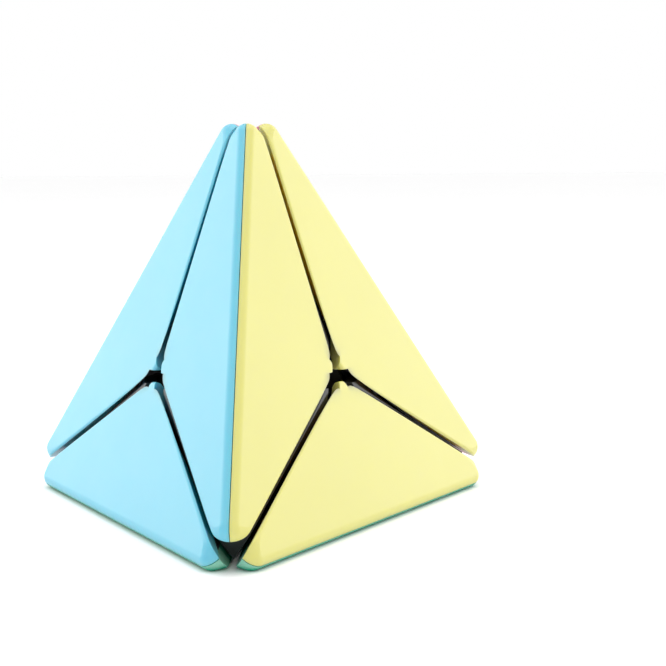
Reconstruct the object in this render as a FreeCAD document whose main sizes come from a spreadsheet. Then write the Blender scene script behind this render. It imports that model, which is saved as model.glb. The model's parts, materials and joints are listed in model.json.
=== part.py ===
import FreeCAD, Part
import Sketcher
import math
import os

# A pyramid twisty puzzle: a regular tetrahedron cut into six edge pieces that turn in four layers.
# The origin is the centre of the core. One corner (the top) is on +Z and the base lies flat below.
# Each layer turns about the line from the core through one corner. Millimetres throughout.

from FreeCAD import Matrix, Placement, Rotation, Vector

os.makedirs("parts", exist_ok=True)
doc = FreeCAD.newDocument("pyramid_puzzle")

# ---------------------------------------------------------------------------------------------
# Driving dimensions
# ---------------------------------------------------------------------------------------------
SIZES = (
    ("edge_length", 98.0, "edge of the sharp tetrahedron that the puzzle is cut from"),
    ("edge_round", 2.0, "radius along the six outer edges"),
    ("cap_depth", 3.0, "depth of a coloured cap below its face"),
    ("cap_gap", 0.55, "half of the gap between caps, at the face"),
    ("cap_clearance", 0.3, "gap from a cap's wall to the turning surface"),
    ("seam_gap", 0.12, "fine seam between the two caps of one edge piece"),
    ("centre_round", 6.0, "radius of a cap's corner at the middle of a face"),
    ("end_round", 3.45, "radius of an edge piece's ends, seen from outside"),
    ("nose_round", 2.2, "radius over the ends of a cap, seen from the side"),
    ("rim_round", 0.6, "small round along a cap's rim"),
    ("layer_cut", 6.6, "height above the core of the flat part of a layer's turning surface"),
    ("foot_radius", 17.5, "outer radius of the feet that run round the core"),
    ("foot_angle", 86.0, "half angle that a layer's feet reach to, in degrees"),
    ("core_radius", 11.5, "radius of the core ball's turning surface"),
    ("clearance", 0.25, "gap from a moving piece to each turning surface"),
    ("hub_clearance", 0.4, "gap from a hub to the turning surfaces of the layers beside it"),
    ("hub_depth", 0.6, "depth of a hub's ridges below the faces"),
    ("hub_cut", 4.7, "height at which a hub's ridges stop short of the middle of a face"),
    ("tip_start", 35.0, "distance from the core to the joint of hub and tip"),
    ("tip_radius", 45.5, "distance from the core to the rounded end of a tip"),
    ("plug_length", 2.0, "length of the tip's plug in the spring well"),
    ("arm_radius", 3.5, "radius of the core's arms"),
    ("arm_length", 18.8, "distance from the core's centre to the end of an arm"),
    ("sleeve_radius", 3.8, "radius of the hub's bore round an arm"),
    ("sleeve_end", 19.3, "distance from the core to the end of that bore"),
    ("neck_radius", 1.6, "radius of the hub's hole round a screw"),
    ("well_floor", 23.0, "distance from the core to the floor of the spring well"),
    ("well_radius", 3.2, "radius of the spring well"),
    ("thread_radius", 1.25, "radius of a screw's thread"),
    ("pilot_radius", 1.2, "radius of the hole that the thread cuts into"),
    ("screw_end", 10.0, "distance from the core to a screw's point"),
    ("head_start", 31.0, "distance from the core to the underside of a screw's head"),
    ("head_radius", 2.6, "radius of a screw's head"),
    ("head_depth", 1.6, "thickness of a screw's head"),
    ("slot_width", 0.6, "width of the slots in a screw's head"),
    ("slot_depth", 0.8, "depth of the slots in a screw's head"),
    ("washer_radius", 2.9, "radius of a washer"),
    ("washer_depth", 0.5, "thickness of a washer"),
    ("spring_radius", 2.3, "radius of a spring's coil, at the middle of its wire"),
    ("wire_radius", 0.3, "radius of a spring's wire"),
    ("spring_pitch", 1.45, "rise of one turn of a spring"),
    ("peg_radius", 1.4, "radius of a cap's pegs"),
    ("peg_length", 2.2, "length of a cap's pegs"),
    ("peg_spacing", 7.5, "distance between a cap's two pegs"),
    ("peg_inset", 15.0, "distance of the pegs from the outer edge, in the face"),
    ("socket_gap", 0.05, "gap round and below a peg in its socket"),
    ("eave", 6.0, "height of the lower edge of an edge body's roof, above the core"),
    ("pocket_floor", 20.5, "height of the hollow's floor in an edge body, from the core"),
    ("pocket_length", 58.0, "length of that hollow, corner to corner"),
    ("pocket_width", 17.0, "width of that hollow, corner to corner"),
)

sheet = doc.addObject("Spreadsheet::Sheet", "sizes")
for row, (alias, value, note) in enumerate(SIZES, start=1):
    sheet.set(f"A{row}", alias)
    sheet.set(f"B{row}", str(value))
    sheet.set(f"C{row}", note)
    sheet.setAlias(f"B{row}", alias)
doc.recompute()


def size(alias):
    """A driving dimension, read from the sheet."""
    return float(sheet.get(alias))


EDGE = size("edge_length")
FACE = EDGE / math.sqrt(24)  # from the core to each face
MIDDLE = EDGE / math.sqrt(8)  # from the core to the middle of each edge
CORNER = 3 * FACE  # from the core to each corner
CENTRE = EDGE / math.sqrt(12)  # from an edge to the middle of a face, in the face
SLOPE_Y = math.sqrt(2 / 3)  # a face's normal, in an edge piece's own frame
SLOPE_Z = math.sqrt(1 / 3)
SPARE = 4.0  # how far a cutting block runs past the surface it cuts
OVERLAP = 0.5  # how far one shape runs into another before the two are joined

# The four corners, as directions from the core, and the colour of the face opposite each.
UP = {
    "top": Vector(0, 0, 1),
    "front": Vector(0, -math.sqrt(8) / 3, -1 / 3),
    "left": Vector(-math.sqrt(2 / 3), math.sqrt(2) / 3, -1 / 3),
    "right": Vector(math.sqrt(2 / 3), math.sqrt(2) / 3, -1 / 3),
}
OPPOSITE_COLOUR = {"top": "green", "front": "pink", "left": "yellow", "right": "blue"}

# The six edge pieces, each between two corners.
EDGES = {
    "front_edge": ("top", "front"),
    "left_edge": ("top", "left"),
    "right_edge": ("top", "right"),
    "base_left_edge": ("front", "left"),
    "base_right_edge": ("front", "right"),
    "base_back_edge": ("left", "right"),
}


# ---------------------------------------------------------------------------------------------
# Helpers
# ---------------------------------------------------------------------------------------------
def frame(x_axis, y_axis, z_axis):
    """The placement that turns X, Y and Z onto three perpendicular axes."""
    turn = Matrix(
        x_axis.x, y_axis.x, z_axis.x, 0,
        x_axis.y, y_axis.y, z_axis.y, 0,
        x_axis.z, y_axis.z, z_axis.z, 0,
        0, 0, 0, 1,
    )
    return Placement(turn)


def unit(vector):
    return Vector(vector) / vector.Length


def edge_frame(near, far):
    """An edge piece's own frame: X along its edge towards near, Z out through the edge."""
    z_axis = unit(UP[near] + UP[far])
    x_axis = unit(UP[near] - UP[far])
    return frame(x_axis, z_axis.cross(x_axis), z_axis)


def corner_frame(corner):
    """A hub's own frame: Z out through the corner, -Y towards one of the other corners."""
    z_axis = UP[corner]
    other = UP["front"] if corner != "front" else UP["top"]
    y_axis = -unit(other - z_axis * other.dot(z_axis))
    return frame(y_axis.cross(z_axis), y_axis, z_axis)


def placed(shape, placement):
    copy = shape.copy()
    copy.Placement = placement.multiply(copy.Placement)
    return copy


def prism(points, direction):
    """A solid from a closed flat outline of points, pushed along a direction."""
    outline = Part.makePolygon([*points, points[0]])
    return Part.Face(outline).extrude(direction)


def outline_prism(edges, direction):
    outline = Part.Wire(Part.__sortEdges__(edges))
    return Part.Face(outline).extrude(direction)


def add(name, shape, placement):
    """A sub-part whose shape is made with Part's own functions."""
    feature = doc.addObject("Part::Feature", name)
    feature.Label = name
    feature.Shape = shape
    feature.Placement = placement.multiply(shape.Placement)
    return feature


# ---------------------------------------------------------------------------------------------
# Turning surfaces. A layer meets the rest of the puzzle on a surface of revolution about its
# axis. Outside it is the hyperboloid that the straight gaps of the three faces sweep; then it
# steps in on a flat ring, goes down a ball round the feet, and in along a cone to the core.
# ---------------------------------------------------------------------------------------------
WAIST = EDGE / math.sqrt(28)  # least radius of the hyperboloid
WAIST_HEIGHT = FACE * 3 / 7  # height of that least radius above the core
FLARE = 3.5  # how fast the square of the radius grows with the square of the height
FAR_BELOW = -1.2 * FACE  # a height below the base, where the cutting solids end
FAR_OUT = 1.6 * CORNER  # a reach beyond the corners, where they end outside
WAIST_SHIFT = 0.537  # change of the waist that moves the hyperboloid out by one millimetre
HEIGHT_SHIFT = 1.05  # and the change of its height
UNDER_CORE = 2.0  # how far the cone runs in under the core's turning surface


def turning_profile(gap, ring):
    """Edges of a turning surface, from far out to the core, moved by gap into the layer."""
    waist = WAIST + WAIST_SHIFT * gap
    height = WAIST_HEIGHT + HEIGHT_SHIFT * gap
    depth = waist / math.sqrt(FLARE)
    ring_height = ring + gap
    ball = size("foot_radius") - gap
    cone = math.radians(size("foot_angle"))
    inner = size("core_radius") - UNDER_CORE

    def on_hyperbola(level):
        return math.hypot(waist, math.sqrt(FLARE) * (level - height))

    def on_cone(radius):
        along = math.sqrt(radius**2 - gap**2)
        return Vector(
            along * math.sin(cone) - gap * math.cos(cone),
            along * math.cos(cone) + gap * math.sin(cone),
            0,
        )

    curve = Part.Hyperbola(Vector(0, height, 0), waist, depth)
    start = math.asinh((FAR_BELOW - height) / depth)
    end = math.asinh((ring_height - height) / depth)
    far = Vector(on_hyperbola(FAR_BELOW), FAR_BELOW, 0)
    ring_out = Vector(on_hyperbola(ring_height), ring_height, 0)
    ring_in = Vector(math.sqrt(ball**2 - ring_height**2), ring_height, 0)
    foot_end = on_cone(ball)
    core_end = on_cone(inner)
    halfway = unit(unit(ring_in) + unit(foot_end)) * ball
    edges = [
        curve.toBSpline(start, end).toShape(),
        Part.makeLine(ring_out, ring_in),
        Part.Arc(ring_in, halfway, foot_end).toShape(),
        Part.makeLine(foot_end, core_end),
    ]
    return edges, far, core_end


def turned(edges, corners):
    """Spin a profile, closed through extra corners, into a solid about Z."""
    closing = [Part.makeLine(a, b) for a, b in zip(corners, corners[1:])]
    wire = Part.Wire(Part.__sortEdges__([*edges, *closing]))
    solid = Part.Face(wire).revolve(Vector(0, 0, 0), Vector(0, 1, 0), 360)
    return placed(Part.Solid(solid), Placement(Vector(), Rotation(Vector(1, 0, 0), 90)))


def bell(gap, ring):
    """Everything that stays behind when a layer turns, grown by gap: cut from the layer's pieces."""
    edges, far, core_end = turning_profile(gap, ring)
    corners = [core_end, Vector(0, core_end.y, 0), Vector(0, FAR_BELOW, 0), far]
    return turned(edges, corners)


def hat(gap, ring):
    """Everything that turns with a layer, grown by gap: cut from the pieces that stay behind."""
    edges, far, core_end = turning_profile(-gap, ring)
    corners = [
        core_end,
        Vector(0, core_end.y, 0),
        Vector(0, FAR_OUT, 0),
        Vector(FAR_OUT, FAR_OUT, 0),
        Vector(FAR_OUT, FAR_BELOW, 0),
        far,
    ]
    return turned(edges, corners)


def on_axis(shape, direction):
    """A solid about Z, moved onto an axis through the core."""
    return placed(shape, Placement(Vector(), Rotation(Vector(0, 0, 1), direction)))


# The four axes, in an edge piece's own frame: its two ends, then the two corners beside it.
END_AXES = (Vector(SLOPE_Y, 0, SLOPE_Z), Vector(-SLOPE_Y, 0, SLOPE_Z))
SIDE_AXES = (Vector(0, SLOPE_Y, -SLOPE_Z), Vector(0, -SLOPE_Y, -SLOPE_Z))


def cut_free(blank, gap):
    """Cut an edge piece's blank back from every surface that it slides on."""
    layer_side = bell(gap, size("layer_cut"))
    rest_side = hat(gap, size("layer_cut"))
    tools = [on_axis(layer_side, axis) for axis in END_AXES]
    tools += [on_axis(rest_side, axis) for axis in SIDE_AXES]
    return blank.cut(tools)


# ---------------------------------------------------------------------------------------------
# Edge pieces, in their own frame
# ---------------------------------------------------------------------------------------------
FACE_NORMAL = Vector(0, SLOPE_Y, SLOPE_Z)
DOWN_FACE = Vector(0, SLOPE_Z, -SLOPE_Y)  # from the outer edge to the middle of the +Y face


def on_face(along, down, depth=0.0):
    """A point of the +Y face, by its places along and away from the outer edge."""
    return Vector(along, 0, MIDDLE) + DOWN_FACE * down - FACE_NORMAL * depth


def cap_outline_block():
    """The cap's outline, square to its face: two straight gap sides and a rounded corner between."""
    gap = size("cap_gap")
    radius = size("centre_round")
    tilt = math.radians(30)
    corner = CENTRE - gap / math.cos(tilt)
    centre = corner - radius / math.cos(tilt)
    touch = Vector(radius * math.sin(tilt), centre + radius * math.cos(tilt), 0)
    past_edge = -2 * SPARE
    wide = touch.x + (touch.y - past_edge) / math.tan(tilt)
    deep = size("cap_depth") + SPARE

    def point(along, down):
        return on_face(along, down, -SPARE)

    right = Part.makeLine(point(wide, past_edge), point(touch.x, touch.y))
    left = Part.makeLine(point(-touch.x, touch.y), point(-wide, past_edge))
    arc = Part.Arc(
        point(touch.x, touch.y), point(0, centre + radius), point(-touch.x, touch.y)
    ).toShape()
    bottom = Part.makeLine(point(-wide, past_edge), point(wide, past_edge))
    return outline_prism([right, arc, left, bottom], FACE_NORMAL * -(SPARE + deep))


def end_block():
    """The edge piece seen from outside: a long rhombus with rounded ends, as a block along Z."""
    half_tip = math.atan(1 / 3)
    radius = size("end_round")
    gap = size("cap_gap")
    reach = EDGE / 2 - (radius + gap) / math.sin(half_tip)
    touch = Vector(reach + radius * math.sin(half_tip), radius * math.cos(half_tip), 0)
    side = touch.y + touch.x * math.tan(half_tip) + SPARE

    def mirrored(point, sign_x, sign_y):
        return Vector(point.x * sign_x, point.y * sign_y, 0)

    edges = []
    for sign in (1, -1):
        tip = Vector(sign * (reach + radius), 0, 0)
        arc = Part.Arc(mirrored(touch, sign, 1), tip, mirrored(touch, sign, -1))
        edges.append(arc.toShape())
        edges.append(Part.makeLine(mirrored(touch, 1, sign), Vector(0, sign * side, 0)))
        edges.append(Part.makeLine(Vector(0, sign * side, 0), mirrored(touch, -1, sign)))
    return outline_prism(edges, Vector(0, 0, CORNER))


def cap_bar():
    """The long strip that a cap is cut from: a slab below the face, round at the outer edge."""
    radius = size("edge_round")
    seam = size("seam_gap") / 2
    depth = size("cap_depth")
    half = EDGE / 2
    axis_height = MIDDLE - radius / SLOPE_Z
    start = Vector(-half, seam, axis_height + math.sqrt(radius**2 - seam**2))
    touch = Vector(-half, 0, axis_height) + FACE_NORMAL * radius
    between = Vector(-half, 0, axis_height) + unit(
        unit(start - Vector(-half, 0, axis_height)) + FACE_NORMAL
    ) * radius
    far = on_face(-half, CENTRE + SPARE)
    far_low = on_face(-half, CENTRE + SPARE, depth)
    low = Vector(-half, seam, (FACE - depth - SLOPE_Y * seam) / SLOPE_Z)
    edges = [
        Part.Arc(start, between, touch).toShape(),
        Part.makeLine(touch, far),
        Part.makeLine(far, far_low),
        Part.makeLine(far_low, low),
        Part.makeLine(low, start),
    ]
    return outline_prism(edges, Vector(EDGE, 0, 0))


def cap_side(face):
    """Which part of a cap's blank a face is: a gap wall, an end wall, its underside or its outside."""
    kind = face.Surface
    if isinstance(kind, Part.Cylinder):
        if abs(kind.Axis.dot(FACE_NORMAL)) > 0.9999:
            return "gap"
        return "end" if abs(kind.Axis.z) > 0.9999 else "outside"
    if isinstance(kind, Part.Plane):
        if abs(kind.Axis.dot(FACE_NORMAL)) < 0.0001:
            return "gap"
        if abs(kind.Axis.z) < 0.0001:
            return "seam" if abs(kind.Axis.y) > 0.9999 else "end"
        return "outside" if abs(face.CenterOfMass.dot(FACE_NORMAL) - FACE) < 0.01 else "under"
    return "outside"


def rim_edges(blank, wall):
    """The edges between a blank's outside and one kind of its walls."""
    outside = [edge for face in blank.Faces if cap_side(face) == "outside" for edge in face.Edges]
    walls = [edge for face in blank.Faces if cap_side(face) == wall for edge in face.Edges]
    return [edge for edge in outside if any(edge.isSame(other) for other in walls)]


def cap_shape():
    """One coloured cap, on the +Y side, with two pegs below it."""
    bar = cap_bar().common(end_block()).Solids[0]
    bar = bar.makeFillet(size("nose_round"), rim_edges(bar, "end"))
    blank = bar.common(cap_outline_block()).Solids[0]
    blank = blank.makeFillet(size("rim_round"), rim_edges(blank, "gap"))
    cap = cut_free(blank, size("cap_clearance"))
    cap = max(cap.Solids, key=lambda solid: solid.Volume)
    for sign in (1, -1):
        foot = on_face(
            sign * size("peg_spacing") / 2, size("peg_inset"), size("cap_depth") - OVERLAP
        )
        peg = Part.makeCylinder(
            size("peg_radius"), size("peg_length") + OVERLAP, foot, FACE_NORMAL * -1
        )
        cap = cap.fuse(peg)
    return cap.removeSplitter().Solids[0]


def pocket_shape():
    """The hollow in the top of an edge body, under the two caps."""
    half_length = size("pocket_length") / 2
    half_width = size("pocket_width") / 2
    floor = size("pocket_floor")
    points = [
        Vector(half_length, 0, floor),
        Vector(0, half_width, floor),
        Vector(-half_length, 0, floor),
        Vector(0, -half_width, floor),
    ]
    return prism(points, Vector(0, 0, MIDDLE - floor))


def body_shape():
    """The black body of an edge piece: a roof under the caps, a neck, and a foot at the core."""
    half = EDGE / 2
    roof = FACE - size("cap_depth")
    ridge = roof / SLOPE_Z
    eave = size("eave")
    side = (roof - SLOPE_Z * eave) / SLOPE_Y
    points = [Vector(-half, 0, ridge), Vector(-half, side, eave), Vector(-half, -side, eave)]
    blank = prism(points, Vector(EDGE, 0, 0)).common(end_block())
    blank = blank.cut(Part.makeSphere(size("core_radius") + size("clearance")))
    body = cut_free(blank, size("clearance"))
    body = max(body.Solids, key=lambda solid: solid.Volume)
    body = body.cut(pocket_shape())
    gap = size("socket_gap")
    length = size("peg_length") + gap + OVERLAP
    for side in (1, -1):
        for sign in (1, -1):
            along = sign * size("peg_spacing") / 2
            foot = on_face(along, size("peg_inset"), size("cap_depth") - OVERLAP)
            foot = Vector(foot.x, foot.y * side, foot.z)
            drill = Vector(0, -FACE_NORMAL.y * side, -FACE_NORMAL.z)
            body = body.cut(Part.makeCylinder(size("peg_radius") + gap, length, foot, drill))
    return max(body.Solids, key=lambda solid: solid.Volume)


# ---------------------------------------------------------------------------------------------
# Hubs, in their own frame: a three-sided black pyramid under each corner
# ---------------------------------------------------------------------------------------------
def hub_block():
    """A hub's outside, before its bores: the whole three-sided pyramid up to its rounded tip."""
    inset = FACE - size("hub_depth")
    back = corner_frame("top").inverse()
    corners = [back.multVec(UP[name] * inset * 3) for name in UP]
    top, front, left, right = corners
    faces = [(top, front, left), (top, left, right), (top, right, front), (front, right, left)]
    shell = Part.Shell([Part.Face(Part.makePolygon([*three, three[0]])) for three in faces])
    blank = Part.Solid(shell)
    if blank.Volume < 0:
        blank.reverse()
    blank = blank.common(Part.makeSphere(size("tip_radius")))
    tools = [bell(size("clearance"), size("layer_cut"))]
    rest_side = hat(size("hub_clearance"), size("hub_cut"))
    tools += [on_axis(rest_side, back.multVec(UP[name])) for name in ("front", "left", "right")]
    tools.append(Part.makeSphere(size("core_radius") + size("clearance")))
    block = blank.cut(tools)
    return max(block.Solids, key=lambda solid: solid.Volume)


def rod(radius, low, high):
    """A cylinder about Z between two heights."""
    return Part.makeCylinder(radius, high - low, Vector(0, 0, low))


def hub_shape(block):
    """The hub: bored for the core's arm, the screw and the spring, and cut off below its tip."""
    top = size("tip_start")
    hub = block.cut(Part.makeBox(EDGE, EDGE, EDGE, Vector(-EDGE / 2, -EDGE / 2, top)))
    bores = [
        rod(size("sleeve_radius"), 0, size("sleeve_end")),
        rod(size("neck_radius"), 0, top),
        rod(size("well_radius"), size("well_floor"), top + OVERLAP),
    ]
    hub = hub.cut(bores)
    return max(hub.Solids, key=lambda solid: solid.Volume)


def tip_shape(block):
    """The tip that closes the hub, with a plug in the spring well."""
    start = size("tip_start")
    tip = block.common(Part.makeBox(EDGE, EDGE, EDGE, Vector(-EDGE / 2, -EDGE / 2, start)))
    tip = max(tip.Solids, key=lambda solid: solid.Volume)
    plug = rod(size("well_radius"), start - size("plug_length"), start + OVERLAP)
    return tip.fuse(plug).removeSplitter().Solids[0]


def bound(kind, name, placement, **lengths):
    """A Part primitive whose lengths are expressions of the sheet."""
    item = doc.addObject(f"Part::{kind}", name)
    for length, expression in lengths.items():
        item.setExpression(length, expression)
    item.Placement = placement
    return item


def make_core():
    """The ball in the middle and its four arms, drilled for the screws."""
    ball = bound("Sphere", "core_ball", Placement(), Radius="sizes.core_radius - sizes.clearance")
    solids = [ball]
    drills = []
    for corner, direction in UP.items():
        turn = Rotation(Vector(0, 0, 1), direction)
        arm = bound(
            "Cylinder",
            f"{corner}_arm",
            Placement(Vector(), turn),
            Radius="sizes.arm_radius",
            Height="sizes.arm_length",
        )
        drill = bound(
            "Cylinder",
            f"{corner}_pilot",
            Placement(direction * size("screw_end"), turn),
            Radius="sizes.pilot_radius",
            Height="sizes.arm_length",
        )
        solids.append(arm)
        drills.append(drill)
    joined = doc.addObject("Part::MultiFuse", "core_solid")
    joined.Shapes = solids
    holes = doc.addObject("Part::MultiFuse", "core_holes")
    holes.Shapes = drills
    core = doc.addObject("Part::Cut", "core")
    core.Label = "core"
    core.Base = joined
    core.Tool = holes
    core.Refine = True
    return core


def spring_shape():
    """A coil spring between the well's floor and the washer, in the hub's frame."""
    low = size("well_floor") + size("wire_radius") + size("socket_gap")
    high = size("head_start") - size("washer_depth") - size("wire_radius")
    radius = size("spring_radius")
    helix = Part.makeLongHelix(size("spring_pitch"), high - low, radius)
    along = Vector(0, 2 * math.pi * radius, size("spring_pitch"))
    section = Part.Circle(Vector(radius, 0, 0), along, size("wire_radius"))
    wire = Part.Wire(helix).makePipeShell([Part.Wire([section.toShape()])], True, True)
    return placed(wire, Placement(Vector(0, 0, low), Rotation()))


# ---------------------------------------------------------------------------------------------
# Turned parts: screws and washers
# ---------------------------------------------------------------------------------------------
HEAD_FLAT = "sizes.head_radius * 0.7"  # radius of the flat on top of a screw's head
SLOT_REACH = "sizes.head_radius * 0.6"  # half the length of each slot in it


def new_body(name, placement):
    body = doc.addObject("PartDesign::Body", name)
    body.Label = name
    body.Placement = placement
    return body


def new_sketch(body, name, role, height=None):
    """A sketch on one of the body's own planes, raised by an expression if height is given."""
    sketch = body.newObject("Sketcher::SketchObject", name)
    plane = next(item for item in body.Origin.OriginFeatures if item.Role == role)
    sketch.AttachmentSupport = [(plane, "")]
    sketch.MapMode = "FlatFace"
    if height:
        sketch.setExpression("AttachmentOffset.Base.z", height)
    return sketch


def evaluate(expression):
    """The value of an expression that uses the sheet's cells."""
    return float(sheet.evalExpression(expression.replace("sizes.", "")))


def draw_outline(sketch, corners):
    """A closed outline whose corners are bound to the sheet; a corner's None lies on the axis."""
    places = []
    for across, up in corners:
        places.append(Vector(evaluate(across) if across else 0, evaluate(up), 0))
    for start, end in zip(places, [*places[1:], places[0]]):
        sketch.addGeometry(Part.LineSegment(start, end), False)
    count = len(corners)
    for index in range(count):
        after = (index + 1) % count
        sketch.addConstraint(Sketcher.Constraint("Coincident", index, 2, after, 1))
    for index, (across, up) in enumerate(corners):
        if across:
            bind(sketch, "DistanceX", index, places[index].x, across)
        else:
            sketch.addConstraint(Sketcher.Constraint("PointOnObject", index, 1, -2))
        bind(sketch, "DistanceY", index, places[index].y, up)


def bind(sketch, kind, index, value, expression):
    """Hold the start of a line at a distance from the sketch's origin, given by the sheet."""
    number = sketch.addConstraint(Sketcher.Constraint(kind, -1, 1, index, 1, value))
    sketch.setExpression(f"Constraints[{number}]", expression)


def draw_circle(sketch, radius):
    index = sketch.addGeometry(Part.Circle(Vector(), Vector(0, 0, 1), evaluate(radius)), False)
    sketch.addConstraint(Sketcher.Constraint("Coincident", index, 3, -1, 1))
    number = sketch.addConstraint(Sketcher.Constraint("Radius", index, evaluate(radius)))
    sketch.setExpression(f"Constraints[{number}]", radius)


def draw_bar(sketch, half_width, half_length):
    """A rectangle about the sketch's origin, bound to the sheet."""
    wide = evaluate(half_width)
    long = evaluate(half_length)
    places = [
        Vector(-wide, -long, 0),
        Vector(wide, -long, 0),
        Vector(wide, long, 0),
        Vector(-wide, long, 0),
    ]
    first = sketch.GeometryCount
    for start, end in zip(places, [*places[1:], places[0]]):
        sketch.addGeometry(Part.LineSegment(start, end), False)
    for index in range(4):
        after = first + (index + 1) % 4
        sketch.addConstraint(Sketcher.Constraint("Coincident", first + index, 2, after, 1))
    for index in (0, 2):
        sketch.addConstraint(Sketcher.Constraint("Horizontal", first + index))
        sketch.addConstraint(Sketcher.Constraint("Vertical", first + index + 1))
    middle = Sketcher.Constraint("Symmetric", first, 1, first + 2, 1, -1, 1)
    sketch.addConstraint(middle)
    for index, value, expression in ((0, wide, half_width), (1, long, half_length)):
        number = sketch.addConstraint(Sketcher.Constraint("Distance", first + index, 2 * value))
        sketch.setExpression(f"Constraints[{number}]", f"2 * ({expression})")


def make_screw(name, placement):
    """A screw along Z: pointed thread, round head, and a crossed slot."""
    body = new_body(name, placement)
    profile = new_sketch(body, f"{name}_profile", "XZ_Plane")
    thread = "sizes.thread_radius"
    head = "sizes.head_radius"
    under = "sizes.head_start"
    top = "sizes.head_start + sizes.head_depth"
    corners = (
        (None, "sizes.screw_end"),
        (thread, "sizes.screw_end + sizes.thread_radius"),
        (thread, under),
        (head, under),
        (head, "sizes.head_start + sizes.head_depth / 2"),
        (HEAD_FLAT, top),
        (None, top),
    )
    draw_outline(profile, corners)
    turned_part = body.newObject("PartDesign::Revolution", f"{name}_turned")
    turned_part.Profile = profile
    turned_part.ReferenceAxis = (profile, ["V_Axis"])
    turned_part.Angle = 360
    for number, across in ((1, False), (2, True)):
        slot = new_sketch(body, f"{name}_slot_{number}", "XY_Plane", top)
        half_width = "sizes.slot_width / 2"
        if across:
            draw_bar(slot, SLOT_REACH, half_width)
        else:
            draw_bar(slot, half_width, SLOT_REACH)
        cut = body.newObject("PartDesign::Pocket", f"{name}_cut_{number}")
        cut.Profile = slot
        cut.setExpression("Length", "sizes.slot_depth")
    return body


def make_washer(name, placement):
    """A flat washer under the screw's head."""
    body = new_body(name, placement)
    ring = new_sketch(body, f"{name}_ring", "XY_Plane", "sizes.head_start - sizes.washer_depth")
    draw_circle(ring, "sizes.washer_radius")
    draw_circle(ring, "sizes.thread_radius + sizes.socket_gap")
    pad = body.newObject("PartDesign::Pad", f"{name}_pad")
    pad.Profile = ring
    pad.setExpression("Length", "sizes.washer_depth")
    return body


# ---------------------------------------------------------------------------------------------
# The assembly
# ---------------------------------------------------------------------------------------------
sub_parts = [make_core()]

block = hub_block()
hub = hub_shape(block)
tip = tip_shape(block)
spring = spring_shape()
for corner in UP:
    place = corner_frame(corner)
    sub_parts.append(make_screw(f"{corner}_screw", place))
    sub_parts.append(make_washer(f"{corner}_washer", place))
    sub_parts.append(add(f"{corner}_spring", spring, place))
    sub_parts.append(add(f"{corner}_hub", hub, place))
    sub_parts.append(add(f"{corner}_tip", tip, place))

body = body_shape()
cap = cap_shape()
HALF_TURN = Placement(Vector(), Rotation(Vector(0, 0, 1), 180))
for name, (near, far) in EDGES.items():
    place = edge_frame(near, far)
    sub_parts.append(add(f"{name}_body", body, place))
    for side_place, side in ((place, 1), (place.multiply(HALF_TURN), -1)):
        side_axis = place.Rotation.multVec(Vector(0, side, 0))
        opposite = min(UP, key=lambda corner: UP[corner].dot(side_axis))
        colour = OPPOSITE_COLOUR[opposite]
        sub_parts.append(add(f"{name}_cap_{colour}", cap, side_place))

doc.recompute()

for item in doc.Objects:
    if "Invalid" in item.State or "Error" in item.State:
        raise RuntimeError(f"{item.Name}: {item.State}")
for item in sub_parts:
    if item.Shape.isNull() or not item.Shape.isValid():
        raise RuntimeError(f"{item.Label} has no valid shape")
for item in sub_parts:
    item.Shape.exportStep(f"parts/{item.Label}.step")
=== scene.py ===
import json
import math

import bpy
from mathutils import Matrix, Vector


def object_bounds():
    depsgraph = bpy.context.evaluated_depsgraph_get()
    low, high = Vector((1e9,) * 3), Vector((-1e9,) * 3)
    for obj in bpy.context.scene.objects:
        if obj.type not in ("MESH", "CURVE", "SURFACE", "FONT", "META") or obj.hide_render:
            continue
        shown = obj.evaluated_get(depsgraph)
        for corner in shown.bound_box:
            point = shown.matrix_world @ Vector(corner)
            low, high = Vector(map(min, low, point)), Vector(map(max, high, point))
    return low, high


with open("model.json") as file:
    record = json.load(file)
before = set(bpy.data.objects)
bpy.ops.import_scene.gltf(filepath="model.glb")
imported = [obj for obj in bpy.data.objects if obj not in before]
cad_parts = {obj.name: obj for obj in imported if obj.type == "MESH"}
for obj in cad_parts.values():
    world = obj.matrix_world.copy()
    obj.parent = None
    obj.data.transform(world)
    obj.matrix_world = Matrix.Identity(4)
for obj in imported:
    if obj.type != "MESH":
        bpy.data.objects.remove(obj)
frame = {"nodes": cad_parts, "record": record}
CAD_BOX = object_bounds()

MM = 0.001

# Noise scales, in cycles per metre of the object: colour drift, polish, moulding grain, scuffs and
# the marks of turned steel.
DRIFT_SCALE = 38.0
POLISH_SCALE = 160.0
GRAIN_SCALE = 5200.0
SCUFF_SCALE = 420.0
STEEL_SCALE = 900.0

GRAIN_HEIGHT = 0.02 * MM
PLASTIC_IOR = 1.53
PASTEL_GLOSS = 0.36
BLACK_GRAIN = 0.08
PAINTED_SHADE_REACH = 1.8 * MM  # how near a wall must be for a cap to take its deeper colour, a painted shade
WORN_WIDTH = 0.25 * MM  # width of the paler line along a cap's edges
WORN_TINT = 1.25  # how much paler it is
GLOW_DEPTH = 2.5 * MM  # how far light wanders inside a cap

# Each cap's colour on its open faces, and the deeper one that it takes on inside the gaps: painted
# shade and bounced light.
PASTELS_AND_GAP_SHADES = {
    "blue": ((0.145, 0.505, 0.640), (0.010, 0.420, 0.560)),
    "yellow": ((0.640, 0.610, 0.190), (0.820, 0.560, 0.020)),
    "green": ((0.220, 0.520, 0.390), (0.020, 0.330, 0.200)),
    "pink": ((0.640, 0.300, 0.370), (0.620, 0.110, 0.200)),
}


# ---------------------------------------------------------------------------------------------
# Node helpers
# ---------------------------------------------------------------------------------------------
def new_material(name):
    """An empty node material with a Principled shader: returns material, nodes, links, shader."""
    material = bpy.data.materials.new(name)
    material.use_nodes = True
    nodes = material.node_tree.nodes
    links = material.node_tree.links
    nodes.clear()
    output = nodes.new("ShaderNodeOutputMaterial")
    shader = nodes.new("ShaderNodeBsdfPrincipled")
    links.new(shader.outputs["BSDF"], output.inputs["Surface"])
    return material, nodes, links, shader


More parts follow.
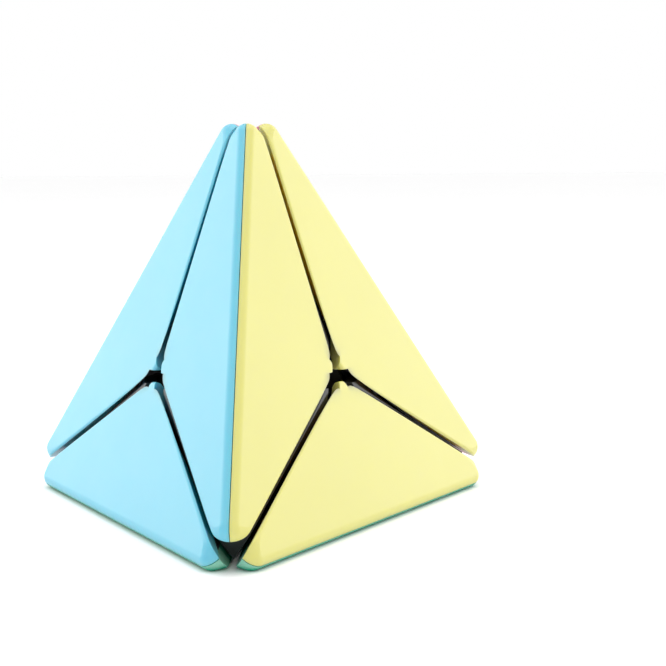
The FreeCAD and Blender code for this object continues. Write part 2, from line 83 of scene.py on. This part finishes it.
def noise(nodes, links, scale, detail=3.0, roughness=0.5):
    """Object-space noise, so that it stays with the piece."""
    coordinates = nodes.new("ShaderNodeTexCoord")
    texture = nodes.new("ShaderNodeTexNoise")
    texture.inputs["Scale"].default_value = scale
    texture.inputs["Detail"].default_value = detail
    texture.inputs["Roughness"].default_value = roughness
    links.new(coordinates.outputs["Object"], texture.inputs["Vector"])
    return texture.outputs["Fac"]


def ramp(nodes, links, value, stops):
    """A colour that follows a value through a few stops, each a place and three numbers."""
    node = nodes.new("ShaderNodeValToRGB")
    elements = node.color_ramp.elements
    while len(elements) < len(stops):
        elements.new(0.5)
    for element, (place, colour) in zip(elements, stops):
        element.position = place
        element.color = (*colour, 1)
    links.new(value, node.inputs["Fac"])
    return node.outputs["Color"]


def remap(nodes, links, value, low, high):
    """A value between nought and one, stretched to run from low to high."""
    node = nodes.new("ShaderNodeMapRange")
    node.inputs["To Min"].default_value = low
    node.inputs["To Max"].default_value = high
    links.new(value, node.inputs["Value"])
    return node.outputs["Result"]


def shaded(colour, factor):
    """A colour made lighter or darker by a factor."""
    return tuple(min(1.0, channel * factor) for channel in colour)


def moulded_plastic(name, colour, gloss, grain=0.03):
    """Moulded plastic: faint colour drift, a fine spark-eroded grain, and uneven polish."""
    material, nodes, links, shader = new_material(name)
    drift = noise(nodes, links, DRIFT_SCALE, 2.0)
    tint = ramp(
        nodes, links, drift, [(0.3, shaded(colour, 0.985)), (0.7, shaded(colour, 1.015))]
    )
    links.new(tint, shader.inputs["Base Color"])
    polish = noise(nodes, links, POLISH_SCALE, 4.0, 0.6)
    links.new(remap(nodes, links, polish, gloss - 0.04, gloss + 0.06), shader.inputs["Roughness"])
    bump = nodes.new("ShaderNodeBump")
    bump.inputs["Strength"].default_value = grain
    bump.inputs["Distance"].default_value = GRAIN_HEIGHT
    links.new(noise(nodes, links, GRAIN_SCALE, 2.0, 0.7), bump.inputs["Height"])
    links.new(bump.outputs["Normal"], shader.inputs["Normal"])
    shader.inputs["IOR"].default_value = PLASTIC_IOR
    return material, shader


def mixed(nodes, links, factor, low, high):
    """A colour between two others, by a factor; each may be a socket or three numbers."""
    node = nodes.new("ShaderNodeMix")
    node.data_type = "RGBA"
    colours = [socket for socket in node.inputs if socket.type == "RGBA"]
    for socket, value in zip(colours, (low, high)):
        if isinstance(value, tuple):
            socket.default_value = (*value, 1)
        else:
            links.new(value, socket)
    links.new(factor, node.inputs[0])
    return next(socket for socket in node.outputs if socket.type == "RGBA")


def edge_mask(nodes, links, radius):
    """Nought on open faces and towards one on edges, where a rounded normal leaves the true one."""
    rounded = nodes.new("ShaderNodeBevel")
    rounded.samples = 4
    rounded.inputs["Radius"].default_value = radius
    geometry = nodes.new("ShaderNodeNewGeometry")
    dot = nodes.new("ShaderNodeVectorMath")
    dot.operation = "DOT_PRODUCT"
    links.new(rounded.outputs["Normal"], dot.inputs[0])
    links.new(geometry.outputs["Normal"], dot.inputs[1])
    node = nodes.new("ShaderNodeMapRange")
    node.inputs["From Min"].default_value = 0.99
    node.inputs["From Max"].default_value = 0.80
    links.new(dot.outputs["Value"], node.inputs["Value"])
    return node.outputs["Result"]


def pastel_plastic(name, colour, painted_gap_shade):
    """Pastel moulded plastic: painted shade, a deeper colour, inside the gaps; paler along worn
    edges.
    """
    material, shader = moulded_plastic(name, colour, PASTEL_GLOSS)
    nodes = material.node_tree.nodes
    links = material.node_tree.links
    # Painted shade: near the gap walls the cap gets a deeper colour and loses its specular
    # reflection.
    open_sky = nodes.new("ShaderNodeAmbientOcclusion")
    open_sky.samples = 8
    open_sky.inputs["Distance"].default_value = PAINTED_SHADE_REACH
    clear_of_painted_shade = nodes.new("ShaderNodeMapRange")
    clear_of_painted_shade.inputs["From Min"].default_value = 0.15
    clear_of_painted_shade.inputs["From Max"].default_value = 0.65
    links.new(open_sky.outputs["AO"], clear_of_painted_shade.inputs["Value"])
    drifting = shader.inputs["Base Color"].links[0].from_socket
    tint = mixed(nodes, links, clear_of_painted_shade.outputs["Result"], painted_gap_shade, drifting)
    wear = nodes.new("ShaderNodeMath")
    wear.operation = "MULTIPLY"
    links.new(edge_mask(nodes, links, WORN_WIDTH), wear.inputs[0])
    scuffs = remap(nodes, links, noise(nodes, links, SCUFF_SCALE), 0.0, 0.35)
    links.new(scuffs, wear.inputs[1])
    worn = mixed(nodes, links, wear.outputs["Value"], tint, shaded(colour, WORN_TINT))
    links.new(worn, shader.inputs["Base Color"])
    links.new(
        remap(nodes, links, clear_of_painted_shade.outputs["Result"], 0.0, 0.5),
        shader.inputs["Specular IOR Level"],
    )
    shader.inputs["Subsurface Weight"].default_value = 0.6
    shader.inputs["Subsurface Radius"].default_value = colour
    shader.inputs["Subsurface Scale"].default_value = GLOW_DEPTH
    return material


def black_plastic(name, colour, gloss):
    """Black moulded plastic, with a coarser grain than the caps."""
    return moulded_plastic(name, colour, gloss, BLACK_GRAIN)[0]


def steel(name, colour):
    """Zinc-plated steel with fine turning marks."""
    material, nodes, links, shader = new_material(name)
    drift = noise(nodes, links, STEEL_SCALE, 4.0)
    tint = ramp(nodes, links, drift, [(0.3, shaded(colour, 0.85)), (0.7, shaded(colour, 1.1))])
    links.new(tint, shader.inputs["Base Color"])
    links.new(remap(nodes, links, drift, 0.22, 0.42), shader.inputs["Roughness"])
    shader.inputs["Metallic"].default_value = 1.0
    return material


MATERIALS = {
    f"{name}_plastic": pastel_plastic(f"{name}_pastel", colour, painted_gap_shade)
    for name, (colour, painted_gap_shade) in PASTELS_AND_GAP_SHADES.items()
}
MATERIALS["black_plastic"] = black_plastic("hub_black", (0.020, 0.021, 0.022), 0.42)
MATERIALS["body_black"] = black_plastic("body_black_satin", (0.014, 0.015, 0.015), 0.5)
MATERIALS["core_black"] = black_plastic("core_black_satin", (0.018, 0.018, 0.019), 0.45)
MATERIALS["steel"] = steel("screw_steel", (0.62, 0.62, 0.64))
MATERIALS["spring_steel"] = steel("coil_steel", (0.50, 0.50, 0.52))


def dress_nodes():
    """Give every CAD node the finish of its material slot."""
    slot_of = {part["node"]: part["material_slot"] for part in frame["record"]["subparts"]}
    for name, node in frame["nodes"].items():
        node.data.materials.clear()
        node.data.materials.append(MATERIALS[slot_of[name]])


dress_nodes()


# ---------------------------------------------------------------------------------------------
# Stage, light and camera
# ---------------------------------------------------------------------------------------------
FLOOR_SIZE = 6.0


def make_floor():
    """A near-white floor that the puzzle stands on."""
    level = CAD_BOX[0].z
    bpy.ops.mesh.primitive_plane_add(size=FLOOR_SIZE, location=(0, 0, level))
    floor = bpy.context.object
    floor.name = "floor"
    material, nodes, links, shader = new_material("floor_white")
    tone = noise(nodes, links, 6.0, 2.0)
    tint = ramp(nodes, links, tone, [(0.0, (0.97, 0.97, 0.97)), (1.0, (0.99, 0.99, 0.99))])
    links.new(tint, shader.inputs["Base Color"])
    shader.inputs["Roughness"].default_value = 0.6
    floor.data.materials.append(material)


def area_light(name, place, target, side, power):
    """A square softbox at a place, turned to a target."""
    data = bpy.data.lights.new(name, "AREA")
    data.shape = "RECTANGLE"
    data.size = side
    data.size_y = side
    data.energy = power
    light = bpy.data.objects.new(name, data)
    light.location = place
    aim = (Vector(target) - Vector(place)).to_track_quat("-Z", "Y")
    light.rotation_mode = "QUATERNION"
    light.rotation_quaternion = aim
    bpy.context.scene.collection.objects.link(light)


def make_lights():
    """A white tent with a brighter softbox behind each shoulder of the puzzle, and one above."""
    middle = (0, 0, 0.015)
    area_light("softbox_left", (-0.70, 0.46, 0.25), middle, 0.7, 2.6)
    area_light("softbox_right", (0.70, 0.46, 0.25), middle, 0.7, 2.6)
    area_light("softbox_top", (0, 0, 0.9), middle, 0.8, 3.0)
    world = bpy.data.worlds.new("studio")
    world.use_nodes = True
    background = world.node_tree.nodes["Background"]
    background.inputs["Color"].default_value = (1, 1, 1, 1)
    background.inputs["Strength"].default_value = 1.0
    bpy.context.scene.world = world


def make_camera():
    """The photograph's view: from the front, a little above the middle, close by."""
    azimuth = math.radians(1.67)
    elevation = math.radians(6.54)
    roll = math.radians(-0.46)
    distance = 308.3 * MM
    target = Vector((15.03, 0, 12.6)) * MM
    back = Vector(
        (
            math.sin(azimuth) * math.cos(elevation),
            -math.cos(azimuth) * math.cos(elevation),
            math.sin(elevation),
        )
    )
    data = bpy.data.cameras.new("camera")
    data.sensor_width = 36
    data.lens = 91.17
    data.clip_start = 0.01
    data.clip_end = 20
    camera = bpy.data.objects.new("camera", data)
    camera.location = target + back * distance
    camera.rotation_mode = "QUATERNION"
    aim = (-back).to_track_quat("-Z", "Y")
    camera.rotation_quaternion = aim @ Matrix.Rotation(roll, 3, "Z").to_quaternion()
    bpy.context.scene.collection.objects.link(camera)
    bpy.context.scene.camera = camera


make_floor()
make_lights()
make_camera()
bpy.context.scene.view_settings.view_transform = "Standard"
